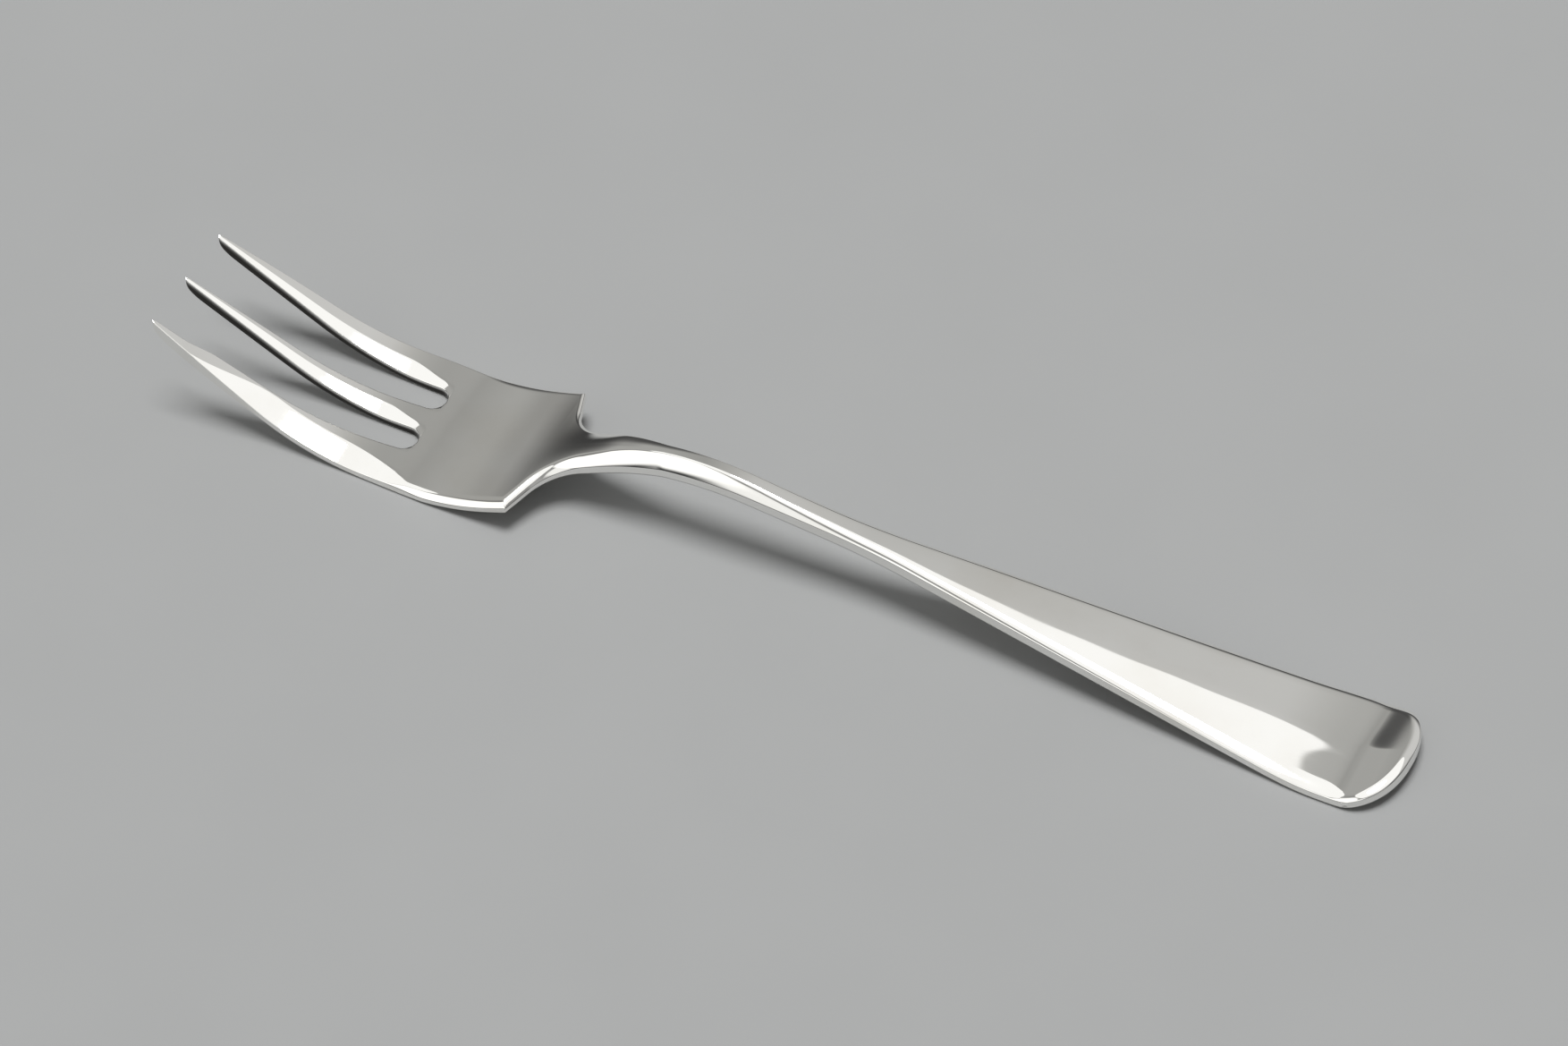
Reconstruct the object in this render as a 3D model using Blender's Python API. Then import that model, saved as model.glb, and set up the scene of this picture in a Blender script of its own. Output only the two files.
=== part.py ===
"""Pastry fork: one piece of silver, blanked and pierced, rolled, ground and bent.

X runs along the fork from the tine tips (-X) to the handle end (+X). Y runs across
it, with the broad cutting tine on the -Y side. Z is up from the table it rests on.
The steps follow the real making: a flat blank with two pierced slots, drawn up to
its thickness, pressed to its crown and chamfers, and bent to its side profile.
"""
import math

import bmesh
import bpy
import numpy as np
from mathutils import Vector

MM = 0.001

# Lengths along the fork. The shoulder line is where head and neck meet.
LENGTH = 140.0 * MM             # tine tips to handle end
HEAD_LENGTH = 42.4 * MM         # tine tips to shoulder line
SLOT_LENGTH = 28.3 * MM         # tine tips to the round base of the slots
LIP_LENGTH = 3.6 * MM           # crease to handle end

# Widths across the fork
HEAD_WIDTH = 18.3 * MM          # at its widest
HEAD_WIDEST = 11.5 * MM         # from the shoulder line to the widest place
HEAD_SIDE_RADIUS = 230.0 * MM   # the long curve of the head's two sides
SLOT_WIDTH = 3.2 * MM           # at the round base
CUTTING_TINE_ROOT = 4.9 * MM
MIDDLE_TINE_ROOT = 3.1 * MM
TIP_WIDTH = 0.45 * MM
STEP_FROM_TIP = 6.8 * MM        # where the cutting tine steps in to its narrow tip
STEP_LENGTH = 3.6 * MM
STEP_WIDTH = 2.15 * MM          # the cutting tine's width at the step
NECK_WIDTH = 5.6 * MM           # where the shoulder's curve would meet the neck
NECK_ROOT = 2.3 * MM            # from the shoulder line to that place
SHOULDER_RADIUS = 5.5 * MM
STEM_WIDTH = 3.1 * MM
STEM_START = 14.5 * MM          # from the shoulder line
STEM_END = 37.9 * MM
FLARE_RADIUS = 90.0 * MM        # stem to handle
HANDLE_WIDTH = 13.9 * MM        # at the crease
FLARE_END = 4.6 * MM            # from the crease back to where the flare straightens
FLARE_END_WIDTH = 13.6 * MM
END_SQUARENESS = 2.2            # 2 is an ellipse, more squares the corners

# Thicknesses at the edge, and how much thicker the middle is
TINE_THICKNESS = 1.5 * MM
PLATE_THICKNESS = 1.25 * MM
NECK_THICKNESS = 2.1 * MM
STEM_THICKNESS = 1.65 * MM
HANDLE_THICKNESS = 1.25 * MM
NECK_CROWN = 1.2 * MM
STEM_CROWN = 0.8 * MM
HANDLE_CROWN = 0.5 * MM
CROWN_POWER = 1.4               # 2 is a round back, 1 a sharp ridge
TIP_THICKNESS = 0.45 * MM
TIP_ROUNDING = 1.8 * MM         # length over which the tine's underside curves up

# Edges
ARRIS = 0.3 * MM                # rounding of the edges of tines and handle
PLATE_ARRIS = 0.65 * MM
NECK_ARRIS = 1.1 * MM           # the neck is filed nearly round
STEM_ARRIS = 0.5 * MM
END_ARRIS = 0.6 * MM            # the rim of the turned-up lip
CHAMFER_WIDTH = 1.15 * MM       # on the tine edges that face the cutting side
CHAMFER_DEPTH = 0.35 * MM
BEVEL_WIDTH = 2.6 * MM          # the ground cutting edge
BEVEL_DEPTH = 0.75 * MM
BEVEL_SET_BACK = 0.35 * MM      # the grinding also takes this off the edge's width
BEVEL_START = 2.6 * MM          # from the slots' bases towards the shoulder line
BEVEL_RUN_IN = 7.1 * MM         # length over which the bevel grows from nothing

# Side profile of the underside
TINE_RISE = 9.55 * MM           # underside of the tips above the table
BELLY_FRONT = 23.9 * MM         # from the shoulder line to the foot of the tines
BELLY_BACK = 8.0 * MM           # from the shoulder line to the foot of the neck
BELLY_FRONT_RADIUS = 30.0 * MM
BELLY_BACK_RADIUS = 23.0 * MM
ARCH_RISE = 7.8 * MM            # corner of the arch, before it is rounded
ARCH_AT = 16.1 * MM             # from the shoulder line
ARCH_RADIUS = 36.0 * MM
HANDLE_FOOT = 9.1 * MM          # from the crease back to the foot of the handle
HANDLE_FOOT_RADIUS = 90.0 * MM
LIP_ANGLE = math.radians(15.0)
LIP_RADIUS = 12.0 * MM

# Fineness of the faceted solid
ROW_STEP = 1.2 * MM
ARC_POINTS = 12
SHARP_ANGLE = math.radians(35.0)

TIPS_X = -HEAD_LENGTH
SLOT_BASE_X = TIPS_X + SLOT_LENGTH
SLOT_CENTRE_X = SLOT_BASE_X - SLOT_WIDTH / 2
END_X = LENGTH - HEAD_LENGTH
CREASE_X = END_X - LIP_LENGTH
STEP_X = TIPS_X + STEP_FROM_TIP
MIDDLE_X = (TIPS_X + END_X) / 2


def rounded_path(corners):
    """Points along straight runs between (a, b, radius) corners, each turned by an arc."""
    points = [corners[0][:2]]
    for before, here, after in zip(corners, corners[1:], corners[2:]):
        corner = Vector(here[:2])
        back = Vector(before[:2]) - corner
        ahead = Vector(after[:2]) - corner
        half_angle = back.angle(ahead) / 2
        reach = min(here[2] / math.tan(half_angle), 0.49 * back.length, 0.49 * ahead.length)
        radius = reach * math.tan(half_angle)
        middle = (back.normalized() + ahead.normalized()).normalized()
        centre = corner + middle * radius / math.sin(half_angle)
        first = corner + back.normalized() * reach - centre
        last = corner + ahead.normalized() * reach - centre
        sweep = math.pi - 2 * half_angle
        for k in range(ARC_POINTS + 1):
            part = k / ARC_POINTS
            arm = first * math.sin((1 - part) * sweep) + last * math.sin(part * sweep)
            points.append(tuple(centre + arm / math.sin(sweep)))
    points.append(corners[-1][:2])
    return np.array(points)


def ease(t):
    """0 before 0, 1 after 1, and a smooth S between."""
    t = np.clip(t, 0.0, 1.0)
    return t * t * (3 - 2 * t)


def mix(a, b, t):
    return a + (b - a) * t


# The underside, seen from the side: tines, belly, neck arch, handle and turned-up lip
PROFILE = rounded_path([
    (TIPS_X, TINE_RISE, 0),
    (-BELLY_FRONT, 0, BELLY_FRONT_RADIUS),
    (-BELLY_BACK, 0, BELLY_BACK_RADIUS),
    (ARCH_AT, ARCH_RISE, ARCH_RADIUS),
    (CREASE_X - HANDLE_FOOT, 0, HANDLE_FOOT_RADIUS),
    (CREASE_X, 0, LIP_RADIUS),
    (END_X, LIP_LENGTH * math.tan(LIP_ANGLE), 0),
])


def head_half_width(x):
    return HEAD_WIDTH / 2 - (x + HEAD_WIDEST) ** 2 / (2 * HEAD_SIDE_RADIUS)


# Half of the outline behind the shoulder line: shoulder, neck, stem and flared handle
OUTLINE = rounded_path([
    (0, head_half_width(0), 0),
    (NECK_ROOT, NECK_WIDTH / 2, SHOULDER_RADIUS),
    (STEM_START, STEM_WIDTH / 2, SHOULDER_RADIUS),
    (STEM_END, STEM_WIDTH / 2, FLARE_RADIUS),
    (CREASE_X - FLARE_END, FLARE_END_WIDTH / 2, FLARE_RADIUS),
    (CREASE_X, HANDLE_WIDTH / 2, 0),
])


def half_width(x):
    """Half the width of the blank at x, up to the crease of the lip."""
    return head_half_width(x) if x <= 0 else np.interp(x, OUTLINE[:, 0], OUTLINE[:, 1])


def end_curve(y):
    """X of the handle's rounded end at y."""
    across = min(abs(y) / (HANDLE_WIDTH / 2), 1.0)
    return CREASE_X + LIP_LENGTH * (1 - across ** END_SQUARENESS) ** (1 / END_SQUARENESS)


# The whole half outline behind the slots, as points that the edge rounding is measured from
HEAD_SIDE = [(x, head_half_width(x)) for x in np.linspace(2 * SLOT_CENTRE_X, 0, 40)]
ROUND_END = [(end_curve(y), y) for y in HANDLE_WIDTH / 2 * np.sin(np.linspace(math.pi / 2, 0, 40))]
EDGE_START = np.array(HEAD_SIDE + list(map(tuple, OUTLINE)) + ROUND_END)
EDGE_RUN = np.diff(EDGE_START, axis=0)
EDGE_RUN, EDGE_START = EDGE_RUN[np.any(EDGE_RUN, axis=1)], EDGE_START[:-1][np.any(EDGE_RUN, axis=1)]


def outline_distance(x, y):
    """Shortest way from a point of the blank to the outline behind the slots."""
    away = np.array([x, abs(y)]) - EDGE_START
    along = np.clip(np.sum(away * EDGE_RUN, axis=1) / np.sum(EDGE_RUN ** 2, axis=1), 0, 1)
    return float(np.min(np.hypot(*(away - along[:, None] * EDGE_RUN).T)))


# Slot edges where the slots open into their straight sides
ROOT_HALF = half_width(SLOT_CENTRE_X)
SLOT_EDGES = [-ROOT_HALF + CUTTING_TINE_ROOT]
SLOT_EDGES += [SLOT_EDGES[0] + SLOT_WIDTH, SLOT_EDGES[0] + SLOT_WIDTH + MIDDLE_TINE_ROOT]
SLOT_EDGES += [SLOT_EDGES[2] + SLOT_WIDTH]
SLOT_CENTRES = [(SLOT_EDGES[0] + SLOT_EDGES[1]) / 2, (SLOT_EDGES[2] + SLOT_EDGES[3]) / 2]


def bevel_width(x):
    """Width of the ground bevel on the cutting tine: it runs in, and out at the step."""
    run_in = ease((SLOT_BASE_X + BEVEL_START - x) / BEVEL_RUN_IN)
    run_out = 1 - ease((STEP_X + 2 * STEP_LENGTH - x) / (3 * STEP_LENGTH))
    return BEVEL_WIDTH * float(run_in * run_out)


def cutting_edge(x):
    """Y of the blank's edge on the cutting side, set back where it is ground."""
    return BEVEL_SET_BACK * bevel_width(x) / BEVEL_WIDTH - half_width(x)


def tine_edges(x):
    """The three tines' (outer, inner) edges at x, from the cutting tine to the plain one."""
    if x >= SLOT_CENTRE_X:
        open_half = math.sqrt(max((SLOT_WIDTH / 2) ** 2 - (x - SLOT_CENTRE_X) ** 2, 0.0))
        edges = [SLOT_CENTRES[0] - open_half, SLOT_CENTRES[0] + open_half,
                 SLOT_CENTRES[1] - open_half, SLOT_CENTRES[1] + open_half]
    else:
        along = (SLOT_CENTRE_X - x) / (SLOT_CENTRE_X - TIPS_X)
        tip_half = half_width(TIPS_X)
        plain_inner = mix(SLOT_EDGES[3], tip_half - TIP_WIDTH, along)
        shelf = (SLOT_CENTRE_X - x) / (SLOT_CENTRE_X - STEP_X)
        broad_inner = mix(SLOT_EDGES[0], STEP_WIDTH - half_width(STEP_X), shelf)
        step = float(ease((STEP_X - x) / STEP_LENGTH))
        edges = [mix(broad_inner, -plain_inner, step),
                 mix(SLOT_EDGES[1], -TIP_WIDTH / 2, along),
                 mix(SLOT_EDGES[2], TIP_WIDTH / 2, along),
                 plain_inner]
    return [(cutting_edge(x), edges[0]), (edges[1], edges[2]), (edges[3], half_width(x))]


def chamfer_width(x):
    """Width of the chamfer along the slots, half as wide round their bases."""
    return CHAMFER_WIDTH * mix(0.5, 1.0, float(ease((SLOT_BASE_X - x) / (3 * SLOT_WIDTH))))


def edge_distances(x, y):
    """Distance from a point of the blank to its outer edge and to the nearest slot edge."""
    if x >= SLOT_CENTRE_X:
        reach = min(math.hypot(x - SLOT_CENTRE_X, y - centre) for centre in SLOT_CENTRES)
        set_back = half_width(x) + cutting_edge(x) if y < 0 else 0.0
        return outline_distance(x, y) - set_back, reach - SLOT_WIDTH / 2
    edges = [edge for pair in tine_edges(x) for edge in pair]
    outer = min(y - edges[0], edges[5] - y)
    return outer, min(abs(y - edge) for edge in edges[1:5])


def slot_chamfer(x, y):
    """Depth of the chamfer on the slot edges that face the cutting tine. It fades out
    round the slots' bases, where the edge turns away from that side."""
    if x < SLOT_CENTRE_X:
        edges = [pair[0] for pair in tine_edges(x)[1:] if pair[0] - SLOT_WIDTH / 2 < y]
        return slope_off(y - edges[-1], chamfer_width(x), CHAMFER_DEPTH) if edges else 0.0
    reach, across = min((math.hypot(x - SLOT_CENTRE_X, y - centre), y - centre)
                        for centre in SLOT_CENTRES)
    facing = float(ease(across / max(reach, SLOT_WIDTH / 2)))
    return slope_off(reach - SLOT_WIDTH / 2, chamfer_width(x) * facing, CHAMFER_DEPTH * facing)


def slope_off(distance, width, depth):
    """Depth of a flat chamfer at this distance from the edge it starts on."""
    return depth * max(1 - max(distance, 0.0) / width, 0.0) if width > 0 else 0.0


def round_off(distance, radius):
    """Depth of a quarter-round edge at this distance from it."""
    inside = max(radius - max(distance, 0.0), 0.0)
    return radius - math.sqrt(max(radius ** 2 - inside ** 2, 0.0))


def along_fork(x, tine, plate, neck, stem, handle):
    """A size that changes smoothly from the tines to the handle end."""
    places = [(SLOT_CENTRE_X - SLOT_WIDTH, SLOT_CENTRE_X + 2 * SLOT_WIDTH, tine, plate),
              (-NECK_ROOT, ARCH_AT / 2, plate, neck),
              (ARCH_AT, STEM_END, neck, stem),
              (STEM_END, CREASE_X, stem, handle)]
    value = tine
    for start, stop, old, new in places:
        value += (new - old) * float(ease((x - start) / (stop - start)))
    return value


def arris(x):
    """Radius of the rounded top edge at x."""
    radius = along_fork(x, ARRIS, PLATE_ARRIS, NECK_ARRIS, STEM_ARRIS, ARRIS)
    return mix(radius, END_ARRIS, float(ease((x - CREASE_X) / LIP_LENGTH + 1)))


def heights(x, y):
    """Underside and top of the metal at a point of the blank, above the profile line."""
    outer, slot = edge_distances(x, y)
    thickness = along_fork(x, TINE_THICKNESS, PLATE_THICKNESS, NECK_THICKNESS,
                           STEM_THICKNESS, HANDLE_THICKNESS)
    crown = along_fork(x, 0.0, 0.0, NECK_CROWN, STEM_CROWN, HANDLE_CROWN)
    half = half_width(min(x, CREASE_X))
    cuts = [round_off(outer, arris(x)), slot_chamfer(x, y)]
    bevel = bevel_width(x)
    if y < SLOT_CENTRES[0]:
        cuts.append(slope_off(outer, bevel, BEVEL_DEPTH * bevel / BEVEL_WIDTH))
    top = thickness + crown * (1 - (abs(y) / half) ** CROWN_POWER) - max(cuts)
    bottom = round_off(min(outer, slot), arris(x)) / 2
    near_tip = float(np.clip(1 - (x - TIPS_X) / TIP_ROUNDING, 0.0, 1.0))
    lift = 1 - math.sqrt(1 - near_tip ** 2)
    return mix(bottom, top - TIP_THICKNESS, lift), top


def profile_height(x):
    return float(np.interp(x, PROFILE[:, 0], PROFILE[:, 1]))


def bend(x, y, above):
    """Place in space of a point of the blank that lies this far above the profile line."""
    probe = 0.02 * MM
    rise = (profile_height(x + probe) - profile_height(x - probe)) / (2 * probe)
    return Vector((x - MIDDLE_X, y, profile_height(x) + above * math.hypot(1.0, rise)))


def tine_columns(x):
    """Y of the lines that run along each tine at x: edges, arris, chamfers and middle."""
    columns = []
    for place, (left, right) in enumerate(tine_edges(x)):
        width = right - left
        chamfer = min(chamfer_width(x), 0.3 * width)
        round_edge = min(arris(x), 0.12 * width)
        ground = max(min(bevel_width(x), 0.5 * width), 2 * round_edge)
        outer = [0.3 * round_edge, round_edge]
        if place == 0:
            steps = [0, *outer, ground, (ground + width - chamfer) / 2, width - chamfer, width]
        elif place == 1:
            steps = [0, chamfer, width / 2, width - chamfer, width]
        else:
            steps = [0, chamfer, mix(chamfer, width, 0.4), mix(chamfer, width, 0.7)]
            steps += [width - outer[1], width - outer[0], width]
        columns.append([left + step for step in steps])
    return columns


def body_columns(x):
    """Y of the same lines behind the slots, spread evenly by the time they reach the neck."""
    near, middle, far = tine_columns(SLOT_BASE_X)
    base = np.array(near + middle[1:] + far[1:])
    base = 2 * (base - base[0]) / (base[-1] - base[0]) - 1
    half = (half_width(x) - cutting_edge(x)) / 2
    edge = 1 - min(arris(x) / half, 0.5)
    inner = np.linspace(-edge, edge, len(base) - 4)
    even = np.array([-1, -mix(edge, 1, 0.7), *inner, mix(edge, 1, 0.7), 1])
    return cutting_edge(x) + half * (1 + mix(base, even, float(ease((x - SLOT_BASE_X) / -SLOT_BASE_X))))


def stations():
    """X of the cross rows of the blank: every key place, then even steps between them."""
    arc = ARC_POINTS + 1
    keys = [TIPS_X, TIPS_X + TIP_ROUNDING / 4, TIPS_X + TIP_ROUNDING, STEP_X - STEP_LENGTH, STEP_X]
    keys += [SLOT_CENTRE_X + SLOT_WIDTH / 2 * math.cos(math.radians(a)) for a in (90, 60, 30, 0)]
    chamfer = chamfer_width(SLOT_BASE_X)
    keys += [SLOT_BASE_X + chamfer, -HEAD_WIDEST, -PLATE_ARRIS, -PLATE_ARRIS / 4, 0.0]
    keys += [PROFILE[arc, 0], PROFILE[arc + 1, 0], PROFILE[4 * arc, 0], PROFILE[4 * arc + 1, 0]]
    keys += list(OUTLINE[1:arc:2, 0])
    keys += [CREASE_X]
    keys = sorted(key for key in keys if key <= CREASE_X)
    rows = [keys[0]]
    for key in keys[1:]:
        if key - rows[-1] < 0.1 * MM:
            if key in (SLOT_BASE_X, CREASE_X):
                rows[-1] = key
            continue
        fine = ROW_STEP / 2 if key <= STEP_X else ROW_STEP
        count = math.ceil((key - rows[-1]) / fine)
        rows += list(np.linspace(rows[-1], key, count + 1)[1:])
    return rows


def sew(mesh, first, second):
    """A strip of faces between two rows of the same number of points."""
    for k in range(len(first) - 1):
        corners = [first[k], first[k + 1], second[k + 1], second[k]]
        corners = [v for i, v in enumerate(corners) if v not in corners[:i]]
        if len(corners) > 2:
            mesh.faces.new(corners)


def blank(mesh):
    """The flat blank: the body with its lip, and three tines parted by the pierced slots."""
    def row(x, columns):
        return [mesh.verts.new((x, y, 0)) for y in columns]

    places = stations()
    behind = [x for x in places if x >= SLOT_BASE_X]
    ahead = [x for x in places if x < SLOT_BASE_X][::-1]
    rows = [row(x, body_columns(x)) for x in behind]
    for first, second in zip(rows, rows[1:]):
        sew(mesh, first, second)
    crease = rows[-1]
    last = crease
    for part in (0.3, 0.6, 0.85, 0.95, 1.0):
        inner = [mesh.verts.new((mix(v.co.x, end_curve(v.co.y), part), v.co.y, 0))
                 for v in crease[1:-1]]
        curve = [crease[0], *inner, crease[-1]]
        sew(mesh, last, curve)
        last = curve
    roots = [rows[0][0:7], rows[0][6:11], rows[0][10:17]]
    for place, root in enumerate(roots):
        last = root
        for x in ahead:
            current = row(x, tine_columns(x)[place])
            sew(mesh, current, last)
            last = current


def pastry_fork():
    mesh = bmesh.new()
    blank(mesh)
    under = list(mesh.verts)
    drawn = bmesh.ops.extrude_face_region(mesh, geom=list(mesh.faces))
    upper = [item for item in drawn["geom"] if isinstance(item, bmesh.types.BMVert)]
    for v in under:
        v.co = bend(v.co.x, v.co.y, heights(v.co.x, v.co.y)[0])
    for v in upper:
        v.co = bend(v.co.x, v.co.y, heights(v.co.x, v.co.y)[1])
    bmesh.ops.recalc_face_normals(mesh, faces=mesh.faces)
    for face in mesh.faces:
        face.smooth = True
    for edge in mesh.edges:
        edge.smooth = edge.calc_face_angle(0.0) < SHARP_ANGLE
    data = bpy.data.meshes.new("pastry_fork")
    mesh.to_mesh(data)
    mesh.free()
    fork = bpy.data.objects.new("pastry_fork", data)
    bpy.context.collection.objects.link(fork)
    return fork


def polished_silver():
    silver = bpy.data.materials.new("polished_silver")
    silver.use_nodes = True
    shader = silver.node_tree.nodes["Principled BSDF"]
    shader.inputs["Base Color"].default_value = (0.88, 0.87, 0.84, 1.0)
    shader.inputs["Metallic"].default_value = 1.0
    shader.inputs["Roughness"].default_value = 0.14
    return silver


for old in list(bpy.data.objects):
    bpy.data.objects.remove(old, do_unlink=True)
pastry_fork().data.materials.append(polished_silver())
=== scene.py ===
"""Looks of a pastry fork: one piece of polished silver, lying on a pale grey table.

Works in millimetres in the fork's own plan, x from the shoulder line towards the
handle end and y across; a mesh is turned to metres as it is made.
"""
import math

import bmesh
import bpy
import numpy as np
from mathutils import Matrix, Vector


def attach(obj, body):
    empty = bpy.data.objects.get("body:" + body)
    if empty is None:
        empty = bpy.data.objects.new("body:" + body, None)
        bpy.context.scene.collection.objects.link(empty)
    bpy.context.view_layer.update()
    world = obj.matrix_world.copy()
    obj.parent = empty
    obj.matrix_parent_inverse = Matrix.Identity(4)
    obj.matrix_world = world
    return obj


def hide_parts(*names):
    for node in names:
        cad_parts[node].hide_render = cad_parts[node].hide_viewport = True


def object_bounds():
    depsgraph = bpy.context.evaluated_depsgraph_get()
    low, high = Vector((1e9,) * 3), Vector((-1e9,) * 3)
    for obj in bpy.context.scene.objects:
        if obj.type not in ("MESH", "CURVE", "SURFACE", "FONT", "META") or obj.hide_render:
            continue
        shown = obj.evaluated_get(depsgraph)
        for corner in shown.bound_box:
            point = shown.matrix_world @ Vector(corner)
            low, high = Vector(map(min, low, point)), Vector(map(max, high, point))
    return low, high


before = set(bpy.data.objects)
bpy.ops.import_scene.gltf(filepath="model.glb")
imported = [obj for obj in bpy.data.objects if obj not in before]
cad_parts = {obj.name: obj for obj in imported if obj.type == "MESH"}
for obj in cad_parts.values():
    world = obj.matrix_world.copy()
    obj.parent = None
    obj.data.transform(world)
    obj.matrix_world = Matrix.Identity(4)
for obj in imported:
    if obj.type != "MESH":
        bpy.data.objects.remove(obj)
cad_low, cad_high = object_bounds()


# The blank. The fork is one piece: an outline stamped from silver sheet, with two
# slots pierced in its head that leave a broad cutting tine, a middle and a plain tine.
MM = 0.001
TIPS_TO_SHOULDER = 42.4
SLOT_LENGTH = 28.3
SLOT_WIDTH = 3.2
CUTTING_TINE_ROOT = 4.9
MIDDLE_TINE_ROOT = 3.1
TIP_WIDTH = 0.45
TIP_ROUND, TIP_BLUNT = 0.5, 0.97
STEP_FROM_TIP = 6.8
STEP_LENGTH = 3.6
STEP_WIDTH = 2.15
HEAD_WIDEST = -11.5
HEAD_SIDE_RADIUS = 230.0
NECK_ROOT, NECK_WIDTH = 2.3, 5.6
STEM_START, STEM_END, STEM_WIDTH = 14.5, 37.9, 3.1
SHOULDER_RADIUS = 5.5
FLARE_RADIUS = 90.0
HANDLE_WIDTH = 13.9
FLARE_END, FLARE_END_WIDTH = 5.5, 13.8
LIP_LENGTH = 3.6
END_LENGTH, END_SQUARENESS = 4.8, 2.2
ARC_POINTS, SIDE_POINTS, END_POINTS = 41, 40, 60
MOST_OF_RUN = 0.49

shoulder_x = cad_low.x / MM + TIPS_TO_SHOULDER
tips = cad_low.x / MM - shoulder_x
handle_end = cad_high.x / MM - shoulder_x
head_half = (cad_high.y - cad_low.y) / MM / 2
crease = handle_end - LIP_LENGTH
end_start = handle_end - END_LENGTH
slot_base = tips + SLOT_LENGTH
slot_centre = slot_base - SLOT_WIDTH / 2
step_x = tips + STEP_FROM_TIP


def ease(t):
    """An S from 0 to 1: 3 t squared less 2 t cubed, level at both ends."""
    t = np.clip(t, 0.0, 1.0)
    return t * t * (3 - 2 * t)


def mix(a, b, t):
    """The straight mix of a and b, all a at t = 0 and all b at t = 1."""
    return a + (b - a) * t


def rounded_path(corners):
    """Straight runs between (a, b, radius) corners, each corner turned by an arc.

    The arc touches both runs, so its centre lies on the corner's middle line at
    radius over sine of half the corner's angle. It takes up most of half a run at most.
    """
    points = [np.array([corners[0][:2]])]
    for before, here, after in zip(corners, corners[1:], corners[2:]):
        corner = np.array(here[:2])
        back, ahead = np.array(before[:2]) - corner, np.array(after[:2]) - corner
        back_run, ahead_run = np.linalg.norm(back), np.linalg.norm(ahead)
        back, ahead = back / back_run, ahead / ahead_run
        half = math.acos(np.clip(back @ ahead, -1, 1)) / 2
        reach = min(here[2] / math.tan(half), MOST_OF_RUN * back_run, MOST_OF_RUN * ahead_run)
        middle = (back + ahead) / np.linalg.norm(back + ahead)
        centre = corner + middle * reach / math.cos(half)
        first, last = corner + back * reach - centre, corner + ahead * reach - centre
        sweep = math.pi - 2 * half
        part = np.linspace(0, 1, ARC_POINTS)[:, None]
        arc = first * np.sin((1 - part) * sweep) + last * np.sin(part * sweep)
        points.append(centre + arc / math.sin(sweep))
    points.append(np.array([corners[-1][:2]]))
    return np.concatenate(points).T


def head_outline(x):
    """Half the head's width: a long arc, as a parabola about its widest place."""
    return head_half - (x - HEAD_WIDEST) ** 2 / (2 * HEAD_SIDE_RADIUS)


outline_x, outline_y = rounded_path([
    (0, head_outline(0), 0),
    (NECK_ROOT, NECK_WIDTH / 2, SHOULDER_RADIUS),
    (STEM_START, STEM_WIDTH / 2, SHOULDER_RADIUS),
    (STEM_END, STEM_WIDTH / 2, FLARE_RADIUS),
    (crease - FLARE_END, FLARE_END_WIDTH / 2, FLARE_RADIUS),
    (end_start, HANDLE_WIDTH / 2, 0),
])


def half_width(x):
    """Half the blank's width at x: the head's arc, then shoulder, neck, stem and flare."""
    return np.where(x <= 0, head_outline(x), np.interp(x, outline_x, outline_y))


def end_curve(y):
    """X of the handle's end at y: an ellipse squared up a little."""
    across = np.clip(np.abs(y) / (HANDLE_WIDTH / 2), 0, 1)
    return end_start + END_LENGTH * (1 - across ** END_SQUARENESS) ** (1 / END_SQUARENESS)


end_y = HANDLE_WIDTH / 2 * np.sin(np.linspace(math.pi / 2, 0, END_POINTS))
side_x = np.linspace(2 * slot_centre, 0, SIDE_POINTS)
outline = np.stack([np.concatenate([side_x, outline_x[1:], end_curve(end_y)[1:]]),
                    np.concatenate([head_outline(side_x), outline_y[1:], end_y[1:]])], axis=-1)


def outline_distance(x, y):
    """Shortest way from points of the blank to its outline: the least over its short runs,
    each measured from the place along the run that lies squarely across from the point."""
    best = np.full(np.shape(x), np.inf)
    for start, stop in zip(outline, outline[1:]):
        run = stop - start
        along = np.clip(((x - start[0]) * run[0] + (np.abs(y) - start[1]) * run[1]) / (run @ run), 0, 1)
        gap = np.hypot(x - start[0] - along * run[0], np.abs(y) - start[1] - along * run[1])
        best = np.minimum(best, gap)
    return best


# The grinding. The cutting tine's outer edge is ground to a long flat bevel, and the
# tine edges that face it are filed to chamfers that grow narrow round the slots' bases.
BEVEL_WIDTH, BEVEL_DEPTH, BEVEL_SET_BACK = 2.6, 0.75, 0.35
BEVEL_START, BEVEL_RUN_IN = 4.2, 11.5
CHAMFER_WIDTH, CHAMFER_DEPTH, CHAMFER_AT_BASE = 1.92, 0.585, 0.33
root_half = float(half_width(slot_centre))
slot_edges = np.cumsum([CUTTING_TINE_ROOT, SLOT_WIDTH, MIDDLE_TINE_ROOT, SLOT_WIDTH]) - root_half
slot_middles = (slot_edges[0] + slot_edges[1]) / 2, (slot_edges[2] + slot_edges[3]) / 2


def bevel_share(x):
    """How much of the full bevel there is at x: it runs in from the slots and out at the step."""
    run_in = np.clip((slot_base + BEVEL_START - x) / BEVEL_RUN_IN, 0, 1)
    return run_in * (2 - run_in) * (1 - ease((step_x + 2 * STEP_LENGTH - x) / (3 * STEP_LENGTH)))


def chamfer_size(x):
    """Size of the chamfers from 0 to 1: small round the slots' bases, and down with the tine to its tip."""
    taper = mix(1.0, TIP_WIDTH / MIDDLE_TINE_ROOT, np.clip((slot_centre - x) / (slot_centre - tips), 0, 1))
    return taper * mix(CHAMFER_AT_BASE, 1.0, ease((slot_base - x) / (2 * SLOT_WIDTH)))


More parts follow.
